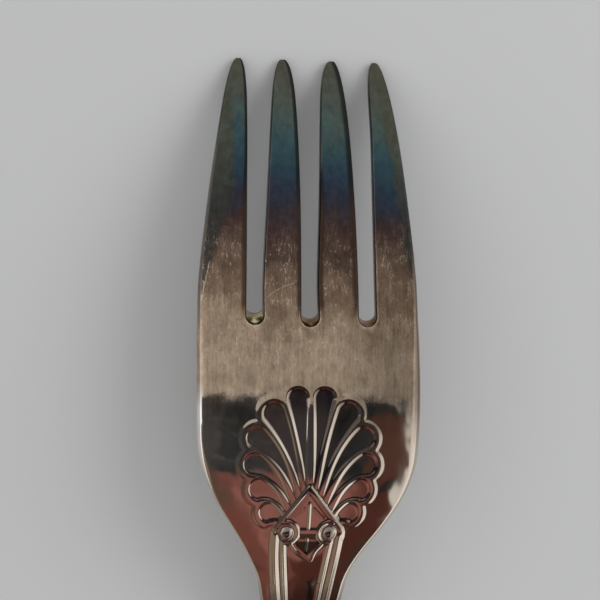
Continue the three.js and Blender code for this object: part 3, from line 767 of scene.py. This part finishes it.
def silver_plate():
    """The film first, then scratches, painted shade along the sides of the slots, painted light and shade on the
    edges and at the slots' roots, and the dark marks of painted shade and the pale marks on the ornament.
    Places are in millimetres, and shades and colours are given one by one."""
    material = bpy.data.materials.new("silver_plate")
    graph = Graph(material)
    shader = graph.tree.nodes["Principled BSDF"]
    place = graph.node("ShaderNodeTexCoord", output=3) * (1 / MM)
    x = graph.node("ShaderNodeSeparateXYZ", inputs=[place], output=0)
    y = graph.node("ShaderNodeSeparateXYZ", inputs=[place], output=1)
    s = TIP_Y - y
    # From the mesh: the relief, painted shade on its walls and along the slots' sides, the edge's facing, a painted
    # shadow line at the slots' roots, and the root walls.
    relief, lip, slot_shaded, wall, crack, root = (
        graph.node("ShaderNodeAttribute", {"attribute_name": name}, output=2)
        for name in ("relief", "lip", "dirt", "wall", "crack", "root"))

    clouds = graph.noise(place, (0.16, 0.22, 0.16), 3.0)
    blots = graph.noise(place + (40.0, 0.0, 0.0), (0.55, 0.4, 0.5), 4.0, 0.6)
    spots = graph.noise(place + (0.0, 70.0, 0.0), (1.3, 0.8, 1.0), 4.0, 0.65)
    streaks = graph.noise(place, (3.0, 0.22, 1.0), 4.0, 0.65)
    grain = graph.noise(place, (6.0, 2.2, 4.0), 3.0, 0.7)
    film = s - x * 0.13 * graph.step(s, 27.0, 19.0)
    film = film + (clouds - 0.5) * 7.0 + (blots - 0.5) * 5.0 + (streaks - 0.5) * 2.0
    cleaner = graph.step(x.size(), 5.0, 8.0) * graph.step(s, 19.0, 24.0) * graph.step(s + x * 0.4, 36.0, 30.0)
    film = film + cleaner * 2.2
    stops = [(a / FILM_REACH, colour) for a, colour in FILM]
    ramp = graph.node("ShaderNodeValToRGB", {"stops": stops}, [film / FILM_REACH])
    inner = 9.3 + graph.step(s, 17.0, 21.0) * 1.4 + (s - 21.0).at_least(0.0) * 0.3
    inner = inner + graph.step(x, 0.0, 1.0) * graph.step(s, 5.0, 15.0) * graph.step(s, 24.0, 18.0) * 1.4
    outer = graph.step(x.size() - inner + (spots - 0.5) * 1.2, -0.45, 0.45) * graph.step(s, 31.0, 28.0)
    dull = graph.mix(graph.step(s, 10.0, 20.0), OLIVE, SOOT)
    colour = graph.mix(outer * 0.85, ramp, dull)
    worn = graph.step(s, 46.0, 40.0)
    light = (streaks - 0.5) * (0.3 + graph.step(s, 23.0, 29.0) * 0.55) + (grain - 0.5) * 0.45
    light = light + (blots - 0.5) * 0.7 + (spots - 0.5) * 0.9
    colour = colour * (1.0 + light * worn)
    rust = graph.step(spots, 0.56, 0.68) * graph.step(s, 18.0, 24.0) * graph.step(s, 39.0, 34.0)
    colour = graph.mix(rust * 0.4, colour, (0.13, 0.062, 0.045))
    gold = graph.step((x + 8.2).size(), 0.55, 0.1) * graph.step(s, 24.0, 27.0) * graph.step(s, 32.0, 30.5)
    colour = graph.mix(gold * 0.55, colour, (0.40, 0.22, 0.10))

    threads = graph.noise(place + (0.0, 0.0, 30.0), (2.2, 0.45, 0.8), 2.0, 0.55)
    rubbed = graph.step(s, 19.0, 27.0) * graph.step(s, 41.0, 37.0) * graph.step(blots, 0.42, 0.58)
    scratched = graph.step((threads - 0.5).size(), 0.016, 0.004) * rubbed
    nicks = graph.step(graph.noise(place + (9.0, 0.0, 0.0), (4.2, 1.5, 2.0), 3.0, 0.6), 0.64, 0.72)
    nicks = nicks * graph.step(s, 18.0, 27.0) * graph.step(s, 40.0, 36.0)
    for (x0, s0), (x1, s1), bow, strength in SCRATCHES:
        length = math.hypot(x1 - x0, s1 - s0)
        along = ((x - x0) * (x1 - x0) + (s - s0) * (s1 - s0)) / length ** 2
        aside = ((x - x0) * (s1 - s0) - (s - s0) * (x1 - x0)) / length
        aside = aside - along * (1.0 - along) * bow
        ends = graph.step(along, -0.02, 0.06) * graph.step(along, 1.02, 0.94)
        scratch = graph.step(aside.size(), 0.13, 0.03) * ends * graph.step(grain, 0.3, 0.6) * strength
        scratched = scratched.at_least(scratch)
    colour = graph.mix(scratched.at_least(nicks * 0.8) * 0.45, colour, (0.85, 0.70, 0.56))

    # Painted shade, nearly black, along the sides of the slots.
    slot_shade_colour = graph.mix(graph.step(s, 14.0, 20.0), (0.010, 0.011, 0.009), (0.045, 0.027, 0.018))
    colour = graph.mix(slot_shaded * 0.85, colour, slot_shade_colour)
    # Painted light on the tines' walls that face left, away from the tips and the roots.
    painted_left_wall_light = graph.step(wall, -0.1, -0.6) * graph.step(s, 8.0, 13.0) * graph.step(s, 33.5, 31.0) * (1.0 - slot_shaded)
    colour = graph.mix(painted_left_wall_light * 0.7, colour, (0.22, 0.19, 0.165))
    # The slots' root walls: a tan film, lightened to stand in for the warm light they reflect, so partly a painted
    # reflection; palest at the left slot and darkest at the right.
    root_film_and_reflection = graph.mix(graph.step(x, 3.0, 4.0), MIDDLE_ROOT, RIGHT_ROOT)
    root_film_and_reflection = graph.mix(graph.step(x, -4.0, -2.0), LEFT_ROOT, root_film_and_reflection)
    colour = graph.mix(root, colour, root_film_and_reflection)
    # A painted shadow line, nearly black, across the root walls of the left and middle slots.
    colour = graph.mix(crack * graph.step(x, 5.0, 4.0), colour, (0.004, 0.004, 0.004))
    # Painted shade on the right-facing rounded edge of the bowl.
    painted_right_edge_shade = graph.step(wall, 0.0, 0.4) * graph.step(x, 11.2, 12.0)
    painted_right_edge_shade = painted_right_edge_shade * graph.step(s, 50.0, 41.0) * graph.step(s, 23.0, 27.0)
    colour = graph.mix(painted_right_edge_shade * 0.85, colour, (0.19, 0.145, 0.11))
    # A painted highlight along the left rounded edge beside the bowl and the heel.
    painted_left_edge_highlight = graph.step(wall, -0.15, -0.45) * graph.step(x, -9.0, -10.0)
    painted_left_edge_highlight = painted_left_edge_highlight * graph.step(s, 39.0, 44.0) * graph.step(s, 55.0, 47.0)
    colour = graph.mix(painted_left_edge_highlight * 0.8, colour, (0.93, 0.90, 0.87))
    shade = graph.step(relief, -0.01, -0.08) * graph.step(x.size(), 3.7, 3.3) * graph.step(s, 44.5, 42.5)
    colour = graph.mix(shade * 0.55, colour, (0.15, 0.12, 0.16))
    crevice = graph.step(relief, 0.02, -0.25) * graph.step(s, 38.0, 40.0) * (0.15 + graph.step(x, 2.5, 4.0) * 0.4)
    crevice = crevice * (1.0 - graph.step(s, 50.5, 52.5) * 0.8)
    colour = graph.mix(crevice, colour, (0.20, 0.15, 0.11))
    # Painted shade on the walls of the relief, lighter past the pediment's top.
    colour = graph.mix(lip * (0.95 - graph.step(s, 52.0, 55.0) * 0.3), colour, (0.04, 0.03, 0.028))
    stem = graph.step(s + (blots - 0.5) * 3.0, 64.0, 67.5) * graph.step(s, 84.0, 74.0)
    colour = colour * (1.0 - stem * 0.45)
    # Painted shade on both bosses, dulling their bright tops.
    boss = ((x + 0.3).size() - BOSS_MARK[0]) ** 2 + (s - BOSS_MARK[1]) ** 2
    colour = graph.mix(graph.step(boss, 0.8, 0.5) * 0.85, colour, (0.26, 0.21, 0.18))
    # Painted shade, nearly black, in the pediment's apex and inside the drop's V.
    apex = graph.step(s - x.size() * PEDIMENT_SLOPE, APEX_S, APEX_S + 0.2)
    apex = apex * graph.step(s - x.size() * 0.7, APEX_S + 0.9, APEX_S + 0.7)
    aside = (x + 0.1).size()
    pit = graph.step(s + aside * 0.9, PIT_S, PIT_S - 0.4) * graph.step(s, 59.2, 59.6) * graph.step(aside, 1.6, 1.3)
    colour = graph.mix(apex.at_least(pit) * 0.9, colour, (0.02, 0.03, 0.022))
    graph.tree.links.new(colour.socket, shader.inputs["Base Color"])

    rough = 0.07 + graph.step(s, 40.0, 34.0) * 0.12 + graph.step(s, 26.0, 16.0) * 0.06
    rough = rough + (streaks - 0.5) * 0.06 * worn
    graph.tree.links.new(rough.at_least(0.05).socket, shader.inputs["Roughness"])
    shader.inputs["Metallic"].default_value = 1.0
    waves = graph.noise(place, (0.35, 0.3, 0.3), 1.0) * 0.05 + grain * 0.004 * worn
    bump = graph.node("ShaderNodeBump", inputs={"Strength": 1.0, "Distance": MM, "Height": waves})
    graph.tree.links.new(bump.socket, shader.inputs["Normal"])
    return material


fork.data.materials.append(silver_plate())


# The table: a plain pale sheet.
TABLE_HALF = 1.6
TABLE_COLOUR = (0.476, 0.481, 0.488)
TABLE_ROUGHNESS = 0.75


def sheet(name, corners):
    """A flat sheet through its corners, linked into the scene."""
    mesh = bpy.data.meshes.new(name)
    mesh.from_pydata(corners, [], [range(len(corners))])
    made = bpy.data.objects.new(name, mesh)
    bpy.context.scene.collection.objects.link(made)
    return made


table = sheet("table", [(x * TABLE_HALF, y * TABLE_HALF, 0) for x, y in ((-1, -1), (1, -1), (1, 1), (-1, 1))])
paper = bpy.data.materials.new("paper")
paper_shader = Graph(paper).tree.nodes["Principled BSDF"]
paper_shader.inputs["Base Color"].default_value = (*TABLE_COLOUR, 1)
paper_shader.inputs["Roughness"].default_value = TABLE_ROUGHNESS
table.data.materials.append(paper)

# The studio: an even pale room, a soft lamp on each side, and above and in front of the fork a cloth that only the
# metal reflects. The cloth is red, dark towards the tines and khaki on its far left, and hangs down as a curtain.
# Places on it are in metres, across and along as the fork lies, and its shades are given one by one.
CLOTH_HEIGHT, CURTAIN_FOOT = 0.4, 0.02
CLOTH_LEFT, CLOTH_RIGHT, CLOTH_FRONT = -2.2, 0.5, -1.6
CLOTH_CORNERS = [
    (-0.9, 0.045), (-0.9, -0.08), (CLOTH_LEFT, -0.25), (CLOTH_LEFT, CLOTH_FRONT), (CLOTH_RIGHT, CLOTH_FRONT),
    (0.42, -0.6), (0.34, -0.46), (0.285, -0.40), (0.256, -0.325), (0.236, -0.25), (0.224, -0.17), (0.218, -0.11),
    (0.215, -0.04), (0.207, 0.03), (0.200, 0.05), (0.144, 0.057), (-0.06, 0.058), (-0.13, 0.049),
]
CLOTH_SPOTS = [(-0.053, 0.02, -0.525, 0.04, (0.006, 0.008, 0.008)), (-0.033, 0.012, -0.56, 0.034, (0.50, 0.44, 0.42))]
cloth = sheet("cloth", [(x, y, CLOTH_HEIGHT) for x, y in CLOTH_CORNERS])
curtain = sheet("curtain", [
    (CLOTH_LEFT, CLOTH_FRONT, CURTAIN_FOOT), (CLOTH_RIGHT, CLOTH_FRONT, CURTAIN_FOOT),
    (CLOTH_RIGHT, CLOTH_FRONT, CLOTH_HEIGHT), (CLOTH_LEFT, CLOTH_FRONT, CLOTH_HEIGHT),
])
for hung in (curtain, cloth):
    hung.visible_camera = hung.visible_diffuse = hung.visible_shadow = False
dark = bpy.data.materials.new("cloth")
graph = Graph(dark)
place = graph.node("ShaderNodeTexCoord", output=3)
across = graph.node("ShaderNodeSeparateXYZ", inputs=[place], output=0)
along = graph.node("ShaderNodeSeparateXYZ", inputs=[place], output=1)
folds = graph.noise(place, (9.0, 7.0, 1.0), 3.0)
patches = graph.noise(place + (3.0, 0.0, 0.0), (16.0, 13.0, 1.0), 4.0, 0.6)
turned = across - graph.step(along, -0.43, -0.38) * 0.2 + (folds - 0.5) * 0.08
red = graph.mix(graph.step(turned, -0.09, -0.01), (0.33, 0.145, 0.13), (0.085, 0.029, 0.023))
red = graph.mix(graph.step(patches, 0.45, 0.62) * graph.step(across, 0.05, -0.02), red, (0.25, 0.105, 0.095))
left = across + (folds - 0.5) * 0.04
red = graph.mix(graph.step(left, -0.09, -0.125), red, (0.20, 0.075, 0.062))
olive = graph.step(left, -0.10, -0.13) * graph.step(along, -0.35, -0.28)
red = graph.mix(olive * 0.85, red, (0.115, 0.085, 0.07))
patch = graph.step(((across - 0.2) * (across - 0.2) + (along + 0.2) * (along + 0.2)) ** 0.5, 0.042, 0.03)
red = graph.mix(patch, red, (0.026, 0.026, 0.024))
near = graph.step(along + (folds - 0.5) * 0.16, -0.16, -0.11)
far = graph.step(along + (folds - 0.5) * 0.08, -0.50, -0.55)
gloom = graph.mix(graph.step(patches, 0.42, 0.58), (0.040, 0.044, 0.050), (0.020, 0.025, 0.030))
gloom = graph.mix(graph.step(across + (patches - 0.5) * 0.06, -0.1, -0.125) * 0.8, gloom, (0.076, 0.080, 0.086))
centre = graph.step((across - 0.01).size(), 0.08, 0.045)
gloom = graph.mix(centre * 0.8, gloom, (0.068, 0.060, 0.070))
flecks = graph.noise(place + (0.0, 5.0, 0.0), (60.0, 45.0, 1.0), 4.0, 0.7)
flecks = graph.step(flecks, 0.51, 0.64) * graph.step(across, 0.0, -0.04)
gloom = graph.mix(flecks * 0.6, gloom, (0.14, 0.14, 0.14))
rusty = graph.step(across + (folds - 0.5) * 0.03, 0.125, 0.148)
rusty = rusty * graph.step(along + (folds - 0.5) * 0.06, 0.035, 0.015)
gloom = graph.mix(rusty, gloom, (0.100, 0.048, 0.038))
shade = graph.mix(near, red, gloom)
shade = graph.mix(far, shade, (0.058, 0.036, 0.032))
khaki = graph.step(across, -0.2, -0.28) * graph.step(along, -0.15, -0.22)
shade = graph.mix(khaki, shade, (0.26, 0.22, 0.17))
for offset, width, middle, reach, tone in CLOTH_SPOTS:
    spot = graph.step((across + along * 0.3 - offset).size(), width, width * 0.5)
    spot = spot * graph.step((along - middle + folds * 0.02).size(), reach, reach * 0.6)
    shade = graph.mix(spot, shade, tone)
emission = graph.node("ShaderNodeEmission", inputs=[shade, 1.0])
graph.tree.links.new(emission.socket, graph.tree.nodes["Material Output"].inputs["Surface"])
for hung in (cloth, curtain):
    hung.data.materials.append(dark)

world = bpy.data.worlds.new("room")
graph = Graph(world)
direction = graph.node("ShaderNodeTexCoord", output=0)
height = graph.node("ShaderNodeSeparateXYZ", inputs=[direction], output=2)
sky = graph.node("ShaderNodeValToRGB", {"stops": [
    (0.0, (1.15, 1.15, 1.15)), (0.5, (0.95, 0.95, 0.95)), (0.85, (0.72, 0.71, 0.70)), (1.0, (0.60, 0.59, 0.58)),
]}, [height])
sideways = graph.node("ShaderNodeSeparateXYZ", inputs=[direction], output=0)
forward = graph.node("ShaderNodeSeparateXYZ", inputs=[direction], output=1)
shaded = graph.step(sideways, 0.12, 0.42) * graph.step(height, 0.7, 0.85) * graph.step(forward, -0.12, 0.0)
sky = sky * (1.0 - 0.45 * shaded)
graph.tree.links.new(sky.socket, graph.tree.nodes["Background"].inputs["Color"])
bpy.context.scene.world = world
bpy.context.scene.view_settings.view_transform = "Standard"

LAMP_SIZE = 0.5
LAMPS = [("right lamp", 2.0, (0.52, 0.24, 0.44), -18, 50.4), ("left lamp", 0.4, (-0.6, 0.1, 0.34), -14, -60)]
for name, energy, place, tilt, turn in LAMPS:
    lamp = bpy.data.objects.new(name, bpy.data.lights.new(name, "AREA"))
    lamp.data.size = LAMP_SIZE
    lamp.data.energy = energy
    lamp.location = place
    lamp.rotation_euler = (math.radians(tilt), math.radians(turn), 0)
    lamp.visible_glossy = False
    bpy.context.scene.collection.objects.link(lamp)

# The camera stands above the middle of the tines' roots, a little to the left, as the photograph's did.
CAMERA_PLACE = (-0.02915, 0.04842, 0.3)
CAMERA_TURN = [math.radians(angle) for angle in (0.06, -5.52, 0.57)]
SENSOR, LENS = 36, 142.56
NEAREST_SEEN = 0.01
camera = bpy.data.objects.new("camera", bpy.data.cameras.new("camera"))
bpy.context.scene.collection.objects.link(camera)
camera.data.sensor_width = SENSOR
camera.data.lens = LENS
camera.data.clip_start = NEAREST_SEEN
camera.location = CAMERA_PLACE
camera.rotation_euler = CAMERA_TURN
bpy.context.scene.camera = camera
